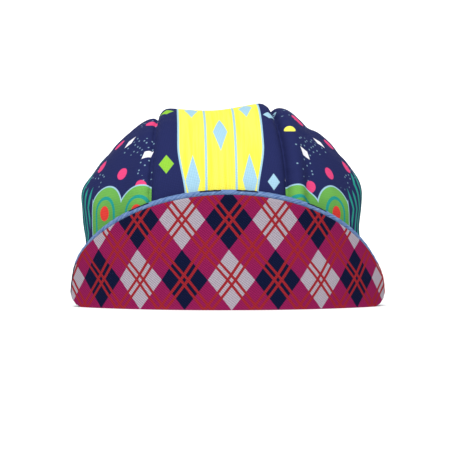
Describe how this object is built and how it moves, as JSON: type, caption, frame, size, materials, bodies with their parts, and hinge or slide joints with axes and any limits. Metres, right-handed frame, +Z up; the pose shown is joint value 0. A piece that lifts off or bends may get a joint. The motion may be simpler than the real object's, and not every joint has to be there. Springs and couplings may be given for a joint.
{
  "type": "peaked cycling cap",
  "caption": "Soft three-panel cloth cap with a stiff curved peak turned up against its front and a gathered elastic back.",
  "frame": {"origin": "middle of the cap's bounding box, on the plane its rim rests on", "axes": "+Z up, -Y towards the peak, +X to the left hand of a wearer facing -Y"},
  "size_m": [0.185, 0.1879, 0.1232],
  "materials": {
    "strip_cloth": "printed woven polyester, yellow and navy, matt",
    "side_cloth": "printed woven polyester, navy, matt",
    "peak_under_cloth": "printed twill, magenta, navy and grey-white, matt",
    "edge_cloth": "printed woven polyester, light blue, matt",
    "band_cloth": "soft brushed cotton, navy, matt",
    "elastic": "ribbed woven elastic, near black, matt"
  },
  "bodies": {
    "root": {"crown_strip": "strip_cloth", "crown_side_left": "side_cloth", "crown_side_right": "side_cloth", "peak_underside": "peak_under_cloth", "peak_topside": "side_cloth", "peak_rolled_edge": "edge_cloth", "sweatband": "band_cloth", "back_elastic": "elastic"}
  },
  "joints": []
}
